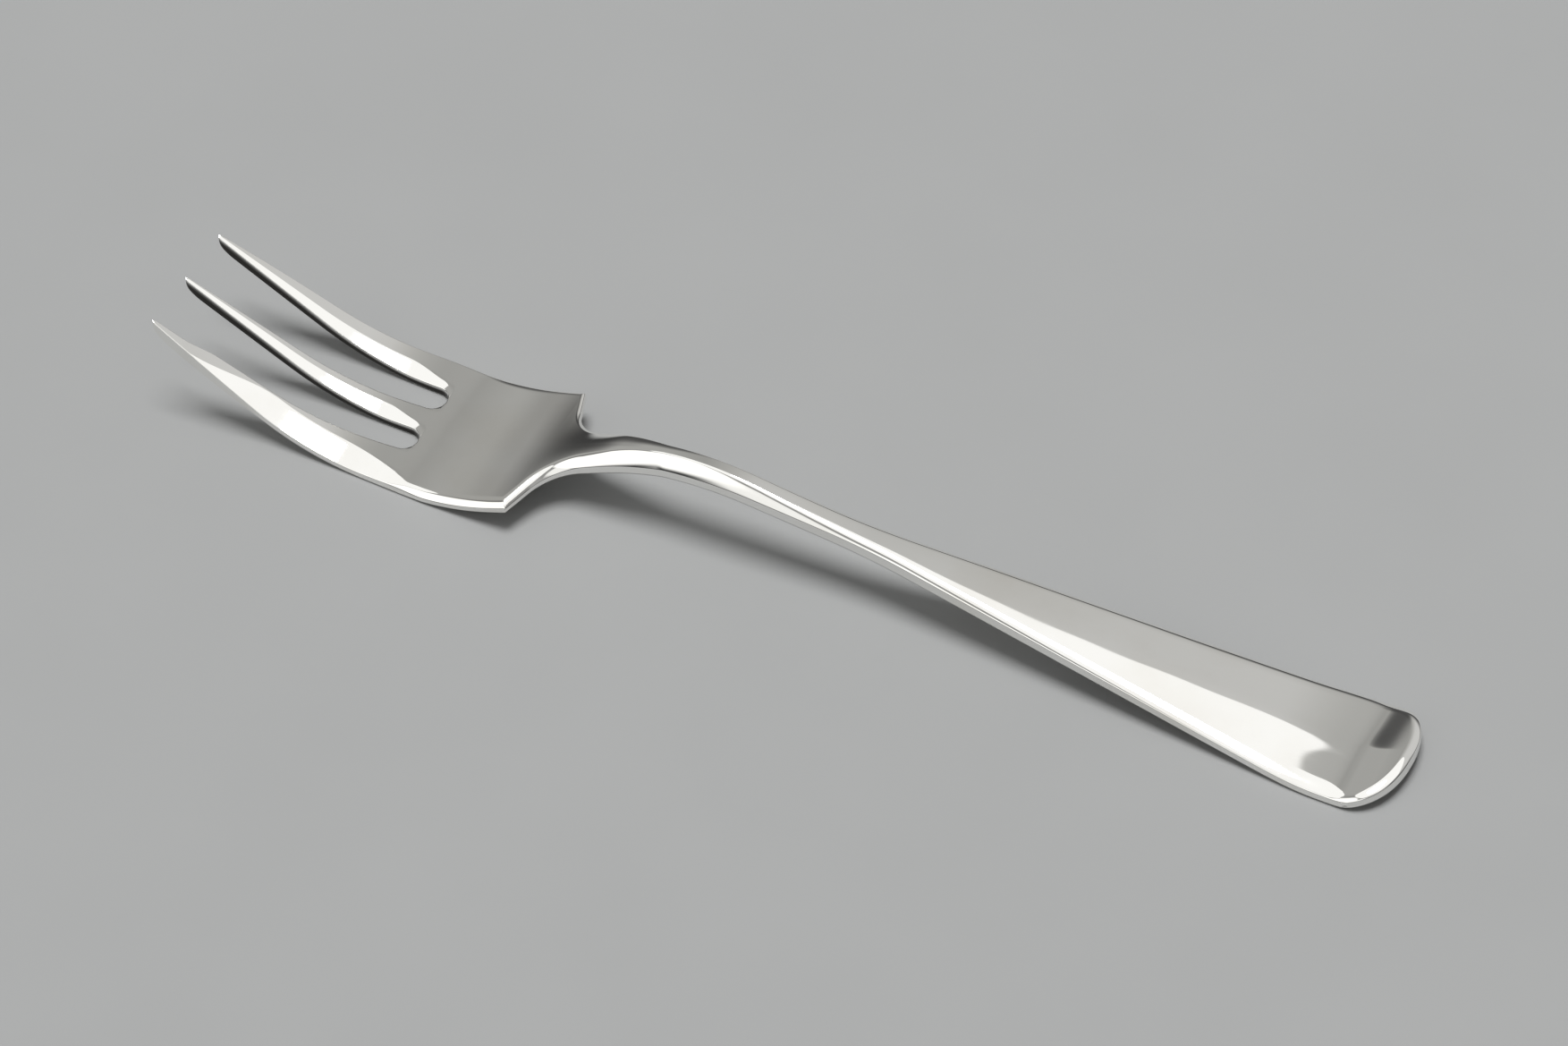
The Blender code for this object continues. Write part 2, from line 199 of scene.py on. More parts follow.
def cutting_edge(x):
    """Y of the blank's edge on the cutting side, set back where it is ground."""
    return BEVEL_SET_BACK * bevel_share(x) - half_width(x)


def tine_edges(x):
    """Left and right edge of each tine at x, as six arrays.

    Round the slots' bases the slots are half circles. Ahead of them every edge runs
    straight to the tip, apart from the outer sides, which keep the head's arc, and the
    cutting tine's inner side, which steps in to the plain tine's width near its tip.
    """
    opening = np.sqrt(np.clip((SLOT_WIDTH / 2) ** 2 - (x - slot_centre) ** 2, 0, None))
    along = (slot_centre - x) / (slot_centre - tips)
    plain = mix(slot_edges[3], head_outline(tips) - TIP_WIDTH, along)
    shelf = (slot_centre - x) / (slot_centre - step_x)
    broad = mix(slot_edges[0], STEP_WIDTH - head_outline(step_x), shelf)
    broad = mix(broad, -plain, ease((step_x - x) / STEP_LENGTH))
    middle_left = mix(slot_edges[1], -TIP_WIDTH / 2, along)
    middle_right = mix(slot_edges[2], TIP_WIDTH / 2, along)
    straight = [broad, middle_left, middle_right, plain]
    bases = [slot_middles[0] - opening, slot_middles[0] + opening,
             slot_middles[1] - opening, slot_middles[1] + opening]
    inner = [np.where(x >= slot_centre, b, s) for b, s in zip(bases, straight)]
    edges = [cutting_edge(x), *inner, head_outline(x)]
    point = np.sqrt(1 - TIP_BLUNT * np.clip(1 - (x - tips) / TIP_ROUND, 0, 1) ** 2)
    for left in (0, 2, 4):
        centre, half = (edges[left] + edges[left + 1]) / 2, (edges[left + 1] - edges[left]) / 2
        edges[left], edges[left + 1] = centre - half * point, centre + half * point
    return edges


def edge_distances(x, y):
    """How far points of the blank lie from its outer edge and from the nearest slot edge,
    and how squarely that slot edge faces the cutting tine, from 0 to 1."""
    edges = tine_edges(x)
    ahead = x < slot_centre
    set_back = np.where(y < 0, half_width(x) + cutting_edge(x), 0)
    outer = np.where(ahead, np.minimum(y - edges[0], edges[5] - y), outline_distance(x, y) - set_back)
    nearer = np.abs(y - slot_middles[0]) < np.abs(y - slot_middles[1])
    across = y - np.where(nearer, *slot_middles)
    reach = np.hypot(x - slot_centre, across)
    sides = np.stack([np.abs(y - edge) for edge in edges[1:5]])
    slot = np.where(ahead, sides.min(axis=0), reach - SLOT_WIDTH / 2)
    facing = np.where(ahead, sides.argmin(axis=0) % 2, ease(across / np.maximum(reach, SLOT_WIDTH / 2)))
    return np.clip(outer, 0, None), np.clip(slot, 0, None), facing


# The rolling and bending. The sheet is rolled thick at the neck and thin at the head,
# crowned along the handle, and bent over formers: tines up, neck arched, lip turned up.
THICKNESS = dict(tine=1.5, plate=1.25, neck=2.4, stem=2.0, handle=1.35)
CROWN = dict(tine=0.0, plate=0.0, neck=0.4, stem=0.2, handle=0.6)
CROWN_POWER = dict(tine=2.0, plate=2.0, neck=2.2, stem=1.8, handle=1.06)
RIB = dict(tine=0.0, plate=0.0, neck=0.0, stem=0.0, handle=0.044)
EDGE_WIDTH = dict(tine=0.3, plate=1.1, neck=1.35, stem=0.9, handle=1.65)
EDGE_DEPTH = dict(tine=0.2, plate=0.7, neck=1.2, stem=0.35, handle=0.38)
EDGE_POWER = dict(tine=2.0, plate=2.0, neck=1.3, stem=2.0, handle=2.0)
END_WIDTH, END_DEPTH = 1.15, 0.42
ARRIS = 0.12
UNDER_ROUND = dict(tine=0.25, plate=0.25, neck=0.8, stem=0.8, handle=0.35)
RIB_SPREAD, RIB_FADE, RIDGE_ROUND = 1.85, 2.0, 0.15
FAR_EDGE, TIP_EDGE = 0.5, 0.4
SWELL_START, SWELL_END = -3.0, 12.0
TIP_THICKNESS, TIP_ROUNDING = 0.45, 1.8
TINE_RISE = 9.55
BELLY_FRONT, BELLY_FRONT_RADIUS = -23.9, 30.0
BELLY_BACK, BELLY_BACK_RADIUS = -7.4, 29.0
ARCH_AT, ARCH_RISE, ARCH_RADIUS = 16.1, 8.4, 36.0
HANDLE_FOOT, HANDLE_FOOT_RADIUS = 7.5, 110.0
LIP_ANGLE, LIP_RADIUS, LIP_START, LIP_TURN = math.radians(23.0), 5.4, 0.7, 1.4
RIM_ANGLE, RIM_RADIUS = math.radians(8.0), 4.0
BEND_SOFTNESS, BELL_POINTS = 0.75, 80
CARRY_ON, PROFILE_POINTS = 8.0, 3121
SLOPE_STEP = 0.02
WAVE_DEPTH, WAVE_PITCH = 0.003, 11.0
WAVE_SWAY, WAVE_SPREAD, WAVE_DRIFT = 1.7, 0.7, 0.6

lip_rise = (LIP_START + LIP_TURN) * math.tan(LIP_ANGLE)
profile_x, profile_z = rounded_path([
    (tips, TINE_RISE, 0),
    (BELLY_FRONT, 0, BELLY_FRONT_RADIUS),
    (BELLY_BACK, 0, BELLY_BACK_RADIUS),
    (ARCH_AT, ARCH_RISE, ARCH_RADIUS),
    (crease - HANDLE_FOOT, 0, HANDLE_FOOT_RADIUS),
    (crease - LIP_START, 0, LIP_RADIUS),
    (crease + LIP_TURN, lip_rise, RIM_RADIUS),
    (handle_end, lip_rise + (LIP_LENGTH - LIP_TURN) * math.tan(RIM_ANGLE), 0),
])
# The formers' curves run into one another: the profile is averaged over a short way by a
# bell curve, after its two ends are carried on straight so that they stay where they are.
fine_x = np.linspace(tips - CARRY_ON, handle_end + CARRY_ON, PROFILE_POINTS)
fine_z = np.interp(fine_x, profile_x, profile_z)
tine_slope = (profile_z[0] - profile_z[1]) / (profile_x[1] - profile_x[0])
fine_z += np.clip(tips - fine_x, 0, None) * tine_slope
fine_z += np.clip(fine_x - handle_end, 0, None) * math.tan(RIM_ANGLE)
reach = np.arange(-BELL_POINTS, BELL_POINTS + 1) * (fine_x[1] - fine_x[0])
bell = np.exp(-(reach / BEND_SOFTNESS) ** 2 / 2)
profile_x = fine_x[BELL_POINTS:-BELL_POINTS]
profile_z = np.convolve(fine_z, bell / bell.sum(), "valid")


def along_fork(x, size):
    """A size that passes by S curves from tine to plate, neck, stem and handle."""
    value = mix(size["tine"], size["plate"],
                ease((x - slot_centre + SLOT_WIDTH) / (3 * SLOT_WIDTH)))
    value = mix(value, size["neck"], ease((x - SWELL_START) / (SWELL_END - SWELL_START)))
    value = mix(value, size["stem"], ease((x - ARCH_AT) / (STEM_END - ARCH_AT)))
    return mix(value, size["handle"], ease((x - STEM_END) / (crease - STEM_END)))


def keen(x):
    """Share of the full edge rounding at x: all of it on the body, less towards the tips."""
    return mix(1.0, TIP_EDGE, ease((slot_centre - x) / (slot_centre - tips)))


def edge_size(x, along, rim):
    """A size of the soft top edge at x: the tine's and body's own, then the rim's on the lip."""
    return mix(along_fork(x, along) * keen(x), rim, ease((x - crease) / LIP_LENGTH + 1))


def far_share(x):
    """Share of the soft edge on the fork's far side: all on tines and handle, less on plate and neck."""
    share = mix(1.0, FAR_EDGE, ease((x - slot_centre) / (3 * SLOT_WIDTH) + 1))
    return mix(share, 1.0, ease((x - ARCH_AT) / (STEM_END - ARCH_AT)))


def soft_edge(distance, width, depth, power=2.0):
    """Depth of a softly buffed edge: a power curve, full depth on the edge and none at its width."""
    return depth * np.clip(1 - distance / np.maximum(width, 1e-6), 0, None) ** power


def round_off(distance, radius):
    """Depth of a quarter-round edge: radius less the height of its circle."""
    inside = np.clip(radius - distance, 0, None)
    return radius - np.sqrt(np.clip(radius ** 2 - inside ** 2, 0, None))


def slope_off(distance, width, depth):
    """Depth of a flat chamfer: full depth on the edge, evenly to none at its width."""
    return depth * np.clip(1 - distance / np.maximum(width, 1e-6), 0, None)


def metal(x, y):
    """Underside and top of the metal over the blank, as heights above the side profile.

    The top is thickness plus crown and rib, less the deeper of the outer cut and the chamfers,
    plus slow shallow waves that hand polishing leaves. The outer cut joins soft edge and bevel
    by the fourth root of the sum of their fourth powers. The crown falls by a power of the way
    across from a ridge rounded on top, and the rib along it is a low bell curve.
    """
    outer, slot, facing = edge_distances(x, y)
    share = np.where(y < slot_middles[0], bevel_share(x), 0)
    bevel = slope_off(outer, BEVEL_WIDTH * share, BEVEL_DEPTH * share)
    side = np.where(y > 0, far_share(x), 1.0)
    buffed = soft_edge(outer, edge_size(x, EDGE_WIDTH, END_WIDTH) * side,
                       edge_size(x, EDGE_DEPTH, END_DEPTH) * side, along_fork(x, EDGE_POWER))
    filed = chamfer_size(x) * facing
    tine = keen(x) * (1 - facing)
    slots = slope_off(slot, CHAMFER_WIDTH * filed, CHAMFER_DEPTH * filed)
    slots += soft_edge(slot, EDGE_WIDTH["tine"] * tine, EDGE_DEPTH["tine"] * tine)
    slots += round_off(slot, ARRIS * keen(x))
    cut = np.maximum((buffed ** 4 + bevel ** 4) ** 0.25 + round_off(outer, ARRIS * keen(x)), slots)
    from_ridge = np.hypot(y, RIDGE_ROUND) - RIDGE_ROUND
    crown = along_fork(x, CROWN) * (1 - (from_ridge / half_width(x)) ** along_fork(x, CROWN_POWER))
    crown += along_fork(x, RIB) * np.exp(-(y / RIB_SPREAD) ** 2) * (1 - ease((x - crease) / RIB_FADE + 0.5))
    turn = 2 * math.pi / WAVE_PITCH
    waves = np.sin(turn * x + WAVE_SWAY * np.sin(turn * y / 2))
    waves *= np.cos(turn * WAVE_SPREAD * y + WAVE_DRIFT * x / WAVE_PITCH)
    top = along_fork(x, THICKNESS) + crown - cut + WAVE_DEPTH * waves
    under = round_off(np.minimum(outer, slot), along_fork(x, UNDER_ROUND) * keen(x))
    near_tip = np.clip(1 - (x - tips) / TIP_ROUNDING, 0, 1)
    return mix(under, top - TIP_THICKNESS, 1 - np.sqrt(1 - near_tip ** 2)), top


def bend(x, y, above):
    """Lifts the blank onto its side profile, with the thickness square to the slope."""
    x, y, above = np.broadcast_arrays(x, y, above)
    behind, z, ahead = [np.interp(x + step, profile_x, profile_z) for step in (-SLOPE_STEP, 0, SLOPE_STEP)]
    slope = (ahead - behind) / (2 * SLOPE_STEP)
    return np.stack([x + shoulder_x, y, z + above * np.hypot(1, slope)], axis=-1)


# The surface. The plan is a net of rows across and lines along the fork; its top and
# underside are two sheets over that net, joined by the narrow walls of the outline.
ROUND_LINES = 1 - np.cos(np.linspace(0, math.pi / 2, 6))
SLOPE_LINES = np.linspace(0, 1, 8)[1:]
FLAT_LINES = np.linspace(0, 1, 9)[1:-1]
WALL_LINES = np.array([0, 0.15, 0.45, 1])
SLOPES_LIMIT, ROUND_LIMIT = 0.94, 0.4
SEAM, SPECK = 0.0005, 0.0002


def lines_across(left, right, left_round, left_slope, right_round, right_slope):
    """Y of a tine's lines at each row: round edge, slope, flat, slope, round edge.

    Where the tine is too narrow for both slopes they shrink together and meet.
    """
    width = (right - left)[:, None]
    shrink = np.minimum(1, SLOPES_LIMIT * width / (left_slope + right_slope)[:, None])
    a, b = left_slope[:, None] * shrink, right_slope[:, None] * shrink
    r = np.minimum(left_round[:, None], ROUND_LIMIT * a)
    s = np.minimum(right_round[:, None], ROUND_LIMIT * b)
    from_left = np.hstack([r * ROUND_LINES, r + (a - r) * SLOPE_LINES])
    from_right = np.hstack([s * ROUND_LINES, s + (b - s) * SLOPE_LINES])[:, ::-1]
    flat = a + (width - a - b) * FLAT_LINES
    return left[:, None] + np.hstack([from_left, flat, width - from_right])


def tine_lines(x):
    """Lines of the three tines at rows x, each as an array of rows by lines."""
    edges = tine_edges(x)
    chamfer, small, buffed = CHAMFER_WIDTH * chamfer_size(x), ARRIS * keen(x), EDGE_WIDTH["tine"] * keen(x)
    outer = edge_size(x, EDGE_WIDTH, END_WIDTH)
    ground = np.maximum(BEVEL_WIDTH * bevel_share(x), outer)
    return [lines_across(edges[0], edges[1], small, ground, small, buffed),
            lines_across(edges[2], edges[3], small, chamfer, small, buffed),
            lines_across(edges[4], edges[5], small, chamfer, small, outer * far_share(x))]


def body_lines(x):
    """Lines behind the slots: the tines' own at the slot bases, even by the shoulder line."""
    near, middle, far = tine_lines(np.array([slot_base]))
    base = np.hstack([near, middle[:, 1:], far[:, 1:]])
    base = (base - base[:, :1]) / np.ptp(base)
    left, width = cutting_edge(x)[:, None], (half_width(x) - cutting_edge(x))[:, None]
    buffed = edge_size(x, EDGE_WIDTH, END_WIDTH)[:, None]
    near, far = [np.hstack([ARRIS * ROUND_LINES + 0 * reach, mix(ARRIS, reach, SLOPE_LINES)]) / width
                 for reach in (buffed, buffed * far_share(x)[:, None])]
    inner = np.linspace(0, 1, base.shape[1] - 2 * near.shape[1] + 2)[1:-1]
    even = np.hstack([near, mix(near[:, -1:], 1 - far[:, -1:], inner), 1 - far[:, ::-1]])
    return left + width * mix(base, even, ease((x - slot_base) / -slot_base)[:, None])


def sheets(x, y):
    """Top sheet and underside sheet over one patch of the net."""
    under, top = metal(x, y)
    return bend(x, y, top), bend(x, y, under)[:, ::-1]


def wall(x, y, inward):
    """The wall under one edge line of the net, from its top to its underside."""
    under, top = metal(x, y)
    line = bend(x[:, None], y[:, None], mix(top[:, None], under[:, None], WALL_LINES))
    return line[:, ::-1] if inward else line


def rows(*stations):
    """Rows of the net: from each (x, count, finer end) to the next, closer at the finer end."""
    parts = [np.array([stations[0][0]])]
    for (start, _, _), (stop, count, finer) in zip(stations, stations[1:]):
        t = np.linspace(0, 1, count + 1)[1:]
        t = {"start": t ** 2, "stop": 1 - (1 - t) ** 2, "": t}[finer]
        parts.append(start + (stop - start) * t)
    return np.concatenate(parts)


# Rows lie closer where the surface turns: behind the slots, at the shoulder and on the tips.
body_x = rows((slot_base, 0, ""), (slot_base + 0.6, 10, "start"), (-1, 36, ""), (0, 14, "stop"),
              (NECK_ROOT / 2, 20, ""), (6, 34, ""), (STEM_END, 84, ""), (end_start, 110, ""))
base_x = slot_centre + SLOT_WIDTH / 2 * np.cos(np.linspace(0, math.pi / 2, 25))
tine_x = rows((slot_centre, 0, ""), (step_x, 44, ""), (step_x - STEP_LENGTH, 22, ""),
              (tips + TIP_ROUND, 14, ""), (tips, 12, "stop"))
tine_x = np.concatenate([base_x, tine_x[1:]])

body_y = body_lines(body_x)
grid_x = np.broadcast_to(body_x[:, None], body_y.shape)
patches = [*sheets(grid_x, body_y), wall(body_x, body_y[:, 0], True), wall(body_x, body_y[:, -1], False)]
lip_part = rows((0.0, 0, ""), (0.9, 40, ""), (1.0, 8, "stop"))[:, None]
lip_y = np.broadcast_to(body_y[-1], (len(lip_part), body_y.shape[1]))
lip_x = mix(end_start, end_curve(lip_y), lip_part)
patches += [*sheets(lip_x, lip_y), wall(lip_x[-1], lip_y[-1], True)]
for lines in tine_lines(tine_x):
    grid_x = np.broadcast_to(tine_x[:, None], lines.shape)
    top, under = sheets(grid_x, lines)
    patches += [top[::-1], under[::-1]]
    patches += [wall(tine_x, lines[:, 0], False), wall(tine_x, lines[:, -1], True)]
    patches += [wall(grid_x[-1], lines[-1], False)]


def woven(name, grids):
    """One closed mesh from grids of points: a face between each four, seams merged."""
    points, faces, first = [], [], 0
    for grid in grids:
        high, wide = grid.shape[:2]
        index = first + np.arange(high * wide).reshape(high, wide)
        ring = index[:-1, :-1], index[1:, :-1], index[1:, 1:], index[:-1, 1:]
        faces.append(np.stack(ring, axis=-1).reshape(-1, 4))
        points.append(grid.reshape(-1, 3))
        first += high * wide
    data = bpy.data.meshes.new(name)
    data.from_pydata(np.concatenate(points) * MM, [], np.concatenate(faces).tolist())
    mesh = bmesh.new()
    mesh.from_mesh(data)
    bmesh.ops.remove_doubles(mesh, verts=mesh.verts, dist=SEAM * MM)
    bmesh.ops.dissolve_degenerate(mesh, edges=mesh.edges, dist=SPECK * MM)
    bmesh.ops.recalc_face_normals(mesh, faces=mesh.faces)
    mesh.to_mesh(data)
    mesh.free()
    data.shade_smooth()
    piece = bpy.data.objects.new(name, data)
    bpy.context.collection.objects.link(piece)
    return piece


fork = woven("fork", patches)


# The polish. Silver buffed to a bright finish: a warm grey mirror, with hairlines from
# years of wiping, cloudy patches of handling, a breath of tarnish, and slot walls given
# painted shade: a dark colour for the shadowed table they mirror, and more roughness.
SILVER, TARNISH, SLOT_PAINTED_SHADE = "#FCFBF8", "#E0D9CC", "#33312E"
SLOT_SHADE_MM, ON_SLOT = 0.25, 0.01
CLOUD_MM, TARNISH_MM, BUFF_MM = 9.0, 14.0, 4.0
# Real hairlines are some hundredths of a millimetre wide, and are drawn coarser to show.
HAIRLINE_MM, HAIRLINE_STRETCH, HAIRLINE_SLANT = 0.25, 0.06, 0.12
CLOUD_ROUGHNESS, HAIRLINE_ROUGHNESS, SLOT_ROUGHNESS = (0.02, 0.05), 0.02, 0.25
MOST_TARNISH = 0.35
BUFF_BUMP, BUFF_DEPTH, HAIRLINE_BUMP, HAIRLINE_DEPTH = 0.05, 0.01, 0.015, 0.004


def linear(hexes):
    """Linear colour from an sRGB hex value."""
    parts = np.array([int(hexes[i:i + 2], 16) for i in (1, 3, 5)]) / 255
    return (*np.where(parts <= 0.04045, parts / 12.92, ((parts + 0.055) / 1.055) ** 2.4), 1.0)


def add(tree, kind, settings=None, **inputs):
    """Adds a node; its settings are attributes, its inputs values or sockets to link."""
    made = tree.nodes.new(kind)
    for name, value in (settings or {}).items():
        setattr(made, name, value)
    for name, value in inputs.items():
        socket = made.inputs[int(name[1:])] if name[1:].isdigit() else made.inputs[name.replace("_", " ")]
        if isinstance(value, bpy.types.NodeSocket):
            tree.links.new(value, socket)
        else:
            socket.default_value = value
    return made


# Marks the slot walls for painted shade, fading in over the first SLOT_SHADE_MM below their top edge.
spots = np.empty(3 * len(fork.data.vertices))
fork.data.vertices.foreach_get("co", spots)
spot_x, spot_y, spot_z = spots.reshape(-1, 3).T / MM
spot_x = spot_x - shoulder_x
_, from_slot, _ = edge_distances(spot_x, spot_y)
below_top = bend(spot_x, spot_y, metal(spot_x, spot_y)[1])[:, 2] - spot_z
slot_wall_shade_and_dullness = (from_slot < ON_SLOT) * np.clip(below_top / SLOT_SHADE_MM, 0, 1)
marked = fork.data.attributes.new("slot_wall_shade_and_dullness", "FLOAT", "POINT")
marked.data.foreach_set("value", slot_wall_shade_and_dullness.astype(np.float32))

silver = bpy.data.materials.new("buffed_silver")
silver.use_nodes = True
tree = silver.node_tree
shader = tree.nodes["Principled BSDF"]
place = add(tree, "ShaderNodeTexCoord").outputs["Object"]
stretched = add(tree, "ShaderNodeMapping", Vector=place, Scale=(HAIRLINE_STRETCH, 1.0, 1.0),
                Rotation=(0.0, 0.0, HAIRLINE_SLANT)).outputs[0]
hairlines = add(tree, "ShaderNodeTexNoise", Vector=stretched, Scale=1 / (HAIRLINE_MM * MM), Detail=3.0)
clouds = add(tree, "ShaderNodeTexNoise", Vector=place, Scale=1 / (CLOUD_MM * MM), Detail=4.0)
patina = add(tree, "ShaderNodeTexNoise", Vector=place, Scale=1 / (TARNISH_MM * MM), Detail=6.0)
buffing = add(tree, "ShaderNodeTexNoise", Vector=place, Scale=1 / (BUFF_MM * MM), Detail=1.0)
dull = add(tree, "ShaderNodeMapRange", Value=clouds.outputs["Fac"], From_Min=0.35, From_Max=0.7,
           To_Min=CLOUD_ROUGHNESS[0], To_Max=CLOUD_ROUGHNESS[1])
lined = add(tree, "ShaderNodeMapRange", Value=hairlines.outputs["Fac"], From_Min=0.45, From_Max=0.75,
            To_Min=0.0, To_Max=HAIRLINE_ROUGHNESS)
rough = add(tree, "ShaderNodeMath", {"operation": "ADD"}, _0=dull.outputs[0], _1=lined.outputs[0])
stain = add(tree, "ShaderNodeMapRange", Value=patina.outputs["Fac"], From_Min=0.5, From_Max=0.8,
            To_Min=0.0, To_Max=MOST_TARNISH)
shine = add(tree, "ShaderNodeMix", {"data_type": "RGBA"}, _0=stain.outputs[0],
            _6=linear(SILVER), _7=linear(TARNISH))
# Painted shade on the slot walls: their colour goes to a dark grey and their roughness up.
slots = add(tree, "ShaderNodeAttribute", {"attribute_name": "slot_wall_shade_and_dullness"}).outputs["Fac"]
colour = add(tree, "ShaderNodeMix", {"data_type": "RGBA"}, _0=slots,
             _6=shine.outputs[2], _7=linear(SLOT_PAINTED_SHADE))
worn = add(tree, "ShaderNodeMath", {"operation": "MULTIPLY_ADD"}, _0=slots, _1=SLOT_ROUGHNESS,
           _2=rough.outputs[0])
soft = add(tree, "ShaderNodeBump", Height=buffing.outputs["Fac"], Strength=BUFF_BUMP,
           Distance=BUFF_DEPTH * MM)
fine = add(tree, "ShaderNodeBump", Height=hairlines.outputs["Fac"], Strength=HAIRLINE_BUMP,
           Distance=HAIRLINE_DEPTH * MM, Normal=soft.outputs[0])
tree.links.new(colour.outputs[2], shader.inputs["Base Color"])
tree.links.new(worn.outputs[0], shader.inputs["Roughness"])
tree.links.new(fine.outputs[0], shader.inputs["Normal"])
shader.inputs["Metallic"].default_value = 1.0
fork.data.materials.append(silver)
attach(fork, "root")
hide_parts("pastry_fork")


# The table. A smooth board in matt pale grey paint, which has hardly any gloss and the
# faintest mottle. The fork rests on it with its belly and its handle.
TABLE_GREY, TABLE_MOTTLE, MOTTLE_MM = "#AFB0B0", "#AAABAB", 25.0
TABLE_ROUGHNESS, TABLE_GLOSS = 0.75, 0.2
TABLE_SIZE = 12000.0
half = TABLE_SIZE / 2
corners = np.array([[[-half, -half, 0], [-half, half, 0]], [[half, -half, 0], [half, half, 0]]], float)
table = woven("table", [corners])
if table.data.polygons[0].normal.z < 0:
    table.data.flip_normals()
paint = bpy.data.materials.new("matt_grey_paint")
paint.use_nodes = True
tree = paint.node_tree
shader = tree.nodes["Principled BSDF"]
place = add(tree, "ShaderNodeTexCoord").outputs["Object"]
mottle = add(tree, "ShaderNodeTexNoise", Vector=place, Scale=1 / (MOTTLE_MM * MM), Detail=3.0)
colour = add(tree, "ShaderNodeMix", {"data_type": "RGBA"}, _0=mottle.outputs["Fac"],
             _6=linear(TABLE_GREY), _7=linear(TABLE_MOTTLE))
tree.links.new(colour.outputs[2], shader.inputs["Base Color"])
shader.inputs["Roughness"].default_value = TABLE_ROUGHNESS
shader.inputs["Specular IOR Level"].default_value = TABLE_GLOSS
table.data.materials.append(paint)


# The light. One broad oval diffuser overhead with a hot middle where its lamp is, two white
# cards at the near side, and a grey room that is dim low down and dark in its far left corner.
LAMP_ANGLE, LAMP_BRIGHTNESS = math.radians(26.0), 14.0
lamp = bpy.data.lights.new("hot_middle", "SUN")
lamp.angle = LAMP_ANGLE
lamp.energy = LAMP_BRIGHTNESS * math.pi * math.sin(LAMP_ANGLE / 2) ** 2
bpy.context.collection.objects.link(bpy.data.objects.new("hot_middle", lamp))

DIFFUSER_REACH, DIFFUSER_WHITE = (0.60, 0.474), (0.98, 0.98, 0.97, 1.0)
LEFT_CARD, CARD_WHITE = (-0.6, -0.6, 0.53), (1.15, 1.15, 1.13, 1.0)
FRONT_CARD, NEAR_RIGHT, LOW, HORIZON = "#F4F4F2", "#A0A09F", "#3A3A3A", "#AFB0B0"
DARK_CORNER, CORNER_GREY = (-0.56, 0.79, 0.25), "#4A4A4A"
# The far side's shades run from left to right, and the near side's from the table upwards.
FAR_SIDE = ((0.00, "#A0A09E"), (0.20, "#A2A2A0"), (0.315, "#989896"), (0.40, "#B0B0AE"), (0.475, "#C4C4C3"),
            (0.56, "#C8C8C7"), (0.74, "#C6C6C5"), (0.82, "#8A8A89"), (1.00, "#5A5A5A"))
NEAR_SIDE = ((0.00, "#343434"), (0.35, "#3C3C3C"), (0.60, "#5A5A59"), (0.80, "#8C8C8B"), (1.00, "#B4B4B2"))
# The room shows in full to the camera and in the metal, and lights the table by this share.
ROOM_LIGHT = 0.45
world = bpy.data.worlds.new("room")
bpy.context.scene.world = world
world.use_nodes = True
tree = world.node_tree
way = add(tree, "ShaderNodeTexCoord").outputs["Generated"]
way_x, way_y, way_z = add(tree, "ShaderNodeSeparateXYZ", Vector=way).outputs
to_card, to_corner = [add(tree, "ShaderNodeVectorMath", {"operation": "DOT_PRODUCT"}, _0=way, _1=middle)
                      for middle in (LEFT_CARD, DARK_CORNER)]
over = add(tree, "ShaderNodeVectorMath", {"operation": "MULTIPLY"}, _0=way,
           _1=(1 / DIFFUSER_REACH[0], 1 / DIFFUSER_REACH[1], 0.0))
over = add(tree, "ShaderNodeVectorMath", {"operation": "LENGTH"}, _0=over.outputs["Vector"])
from_left = add(tree, "ShaderNodeMapRange", Value=way_x, From_Min=-1.0, From_Max=1.0)
sides = []
for shades, across in ((FAR_SIDE, from_left.outputs[0]), (NEAR_SIDE, way_z)):
    ramp = add(tree, "ShaderNodeValToRGB", Fac=across)
    for place, shade in shades[1:-1]:
        ramp.color_ramp.elements.new(place).color = linear(shade)
    ramp.color_ramp.elements[0].color = linear(shades[0][1])
    ramp.color_ramp.elements[-1].color = linear(shades[-1][1])
    sides.append(ramp.outputs["Color"])
# Each zone is a shade laid over those before it, within one or two limits: a measure of the
# way one looks, its value where the shade begins, and its value where the shade is full.
zones = ((sides[1], (way_y, 0.1, -0.3)),
         (linear(FRONT_CARD), (way_y, -0.58, -0.68), (way_x, -0.45, -0.3)),
         (linear(NEAR_RIGHT), (way_y, 0.1, -0.3), (way_x, 0.15, 0.55)),
         (linear(LOW), (way_z, 0.33, 0.08)),
         (linear(CORNER_GREY), (to_corner.outputs["Value"], 0.94, 1.0)),
         (CARD_WHITE, (to_card.outputs["Value"], 0.89, 0.935)),
         (DIFFUSER_WHITE, (over.outputs["Value"], 1.01, 0.99)))
sky = sides[0]
for shade, *limits in zones:
    shares = [add(tree, "ShaderNodeMapRange", {"interpolation_type": "SMOOTHSTEP"}, Value=measure,
                  From_Min=begin, From_Max=full).outputs[0] for measure, begin, full in limits]
    if len(shares) == 2:
        shares = add(tree, "ShaderNodeMath", {"operation": "MULTIPLY"}, _0=shares[0], _1=shares[1]).outputs
    sky = add(tree, "ShaderNodeMix", {"data_type": "RGBA"}, _0=shares[0], _6=sky, _7=shade).outputs[2]
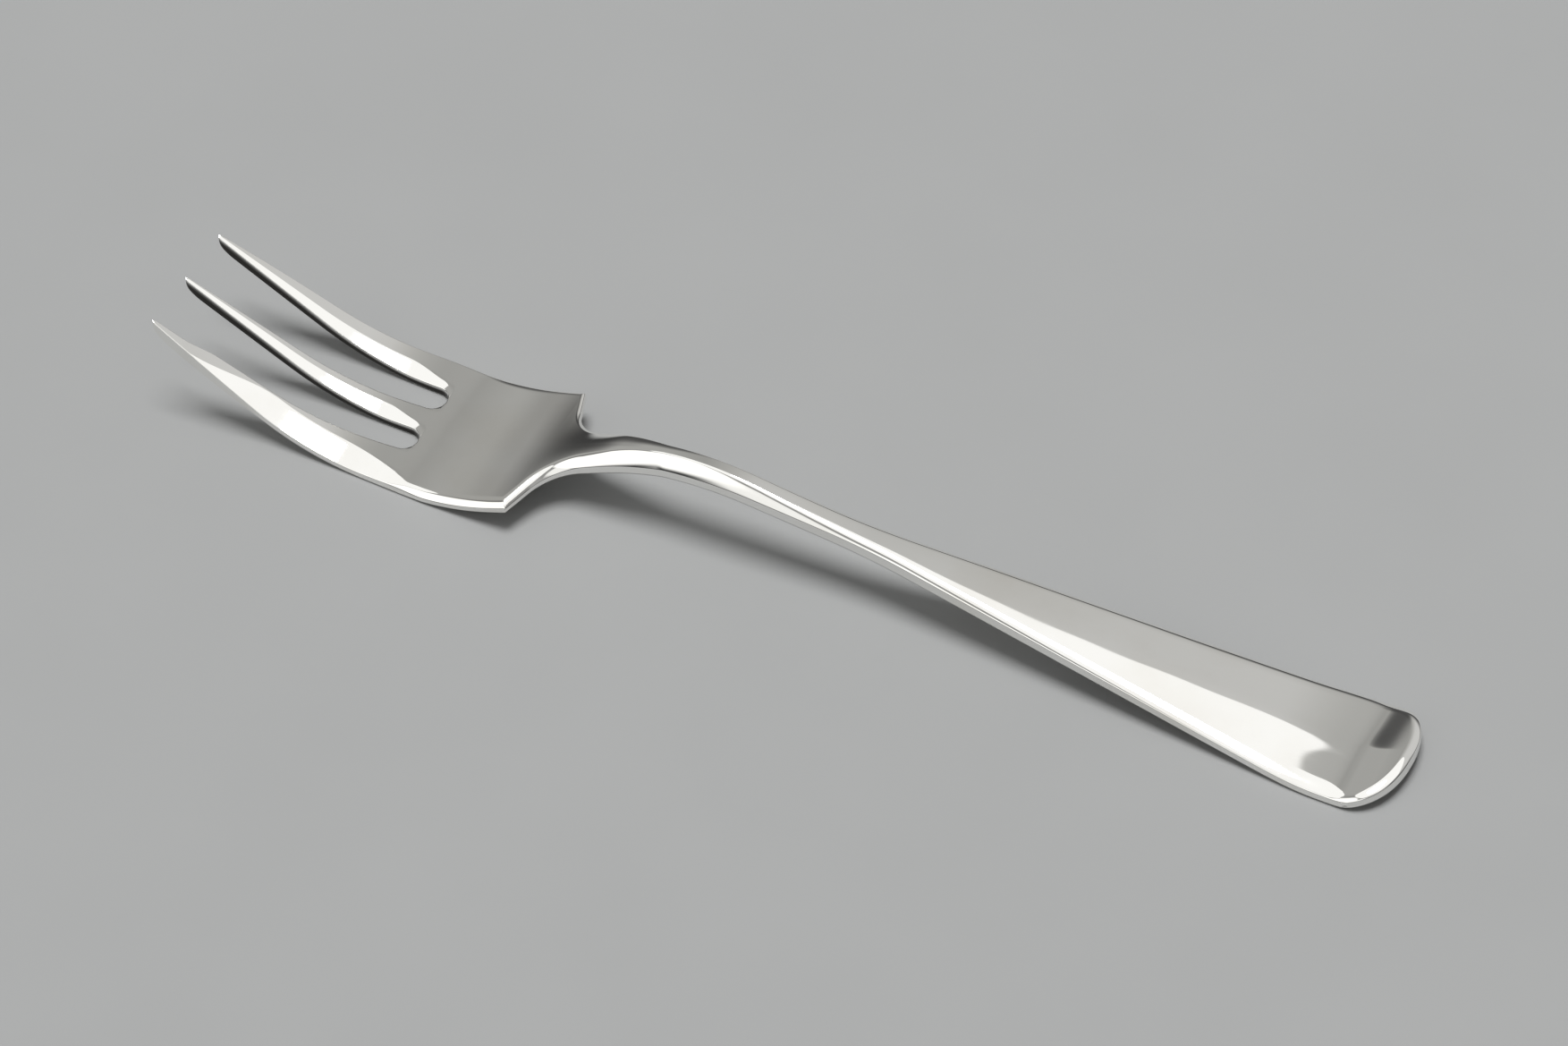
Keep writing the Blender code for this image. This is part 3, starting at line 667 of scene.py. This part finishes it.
flat = add(tree, "ShaderNodeMapRange", Value=way_z, From_Min=0.07, From_Max=0.03)
sky = add(tree, "ShaderNodeMix", {"data_type": "RGBA"}, _0=flat.outputs[0], _6=sky, _7=linear(HORIZON))
tree.links.new(sky.outputs[2], tree.nodes["Background"].inputs["Color"])
ray = add(tree, "ShaderNodeLightPath").outputs
seen = ray["Is Camera Ray"]
for other in ("Is Glossy Ray", "Is Transmission Ray"):
    seen = add(tree, "ShaderNodeMath", {"operation": "MAXIMUM"}, _0=seen, _1=ray[other]).outputs[0]
strength = add(tree, "ShaderNodeMapRange", Value=seen, To_Min=ROOM_LIGHT, To_Max=1.0)
tree.links.new(strength.outputs[0], tree.nodes["Background"].inputs["Strength"])


# The camera. It looks down on the fork's middle at the photograph's viewing angle, through a
# long lens, and is rolled a little so that the fork lies at the slant it has there.
CAMERA_AZIMUTH, CAMERA_ELEVATION, CAMERA_DISTANCE = math.radians(29.93), math.radians(47.23), 722.4
CAMERA_ROLL = math.radians(-3.76)
CAMERA_AIM = np.array([-0.8, 1.8, 3.0])
LENS, SENSOR_WIDTH = 161.9, 36.0
CLIP_START, CLIP_END = 50.0, 50000.0
back = np.array([math.sin(CAMERA_AZIMUTH) * math.cos(CAMERA_ELEVATION),
                 -math.cos(CAMERA_AZIMUTH) * math.cos(CAMERA_ELEVATION), math.sin(CAMERA_ELEVATION)])
view = bpy.data.cameras.new("camera")
view.lens, view.sensor_width = LENS, SENSOR_WIDTH
view.clip_start, view.clip_end = CLIP_START * MM, CLIP_END * MM
camera = bpy.data.objects.new("camera", view)
camera.location = (CAMERA_AIM + back * CAMERA_DISTANCE) * MM
camera.rotation_euler = (math.pi / 2 - CAMERA_ELEVATION, 0, CAMERA_AZIMUTH)
camera.rotation_mode = "QUATERNION"
turned = camera.rotation_euler.to_matrix() @ Matrix.Rotation(CAMERA_ROLL, 3, "Z")
camera.rotation_quaternion = turned.to_quaternion()
bpy.context.collection.objects.link(camera)
bpy.context.scene.camera = camera
bpy.context.scene.view_settings.view_transform = "Standard"
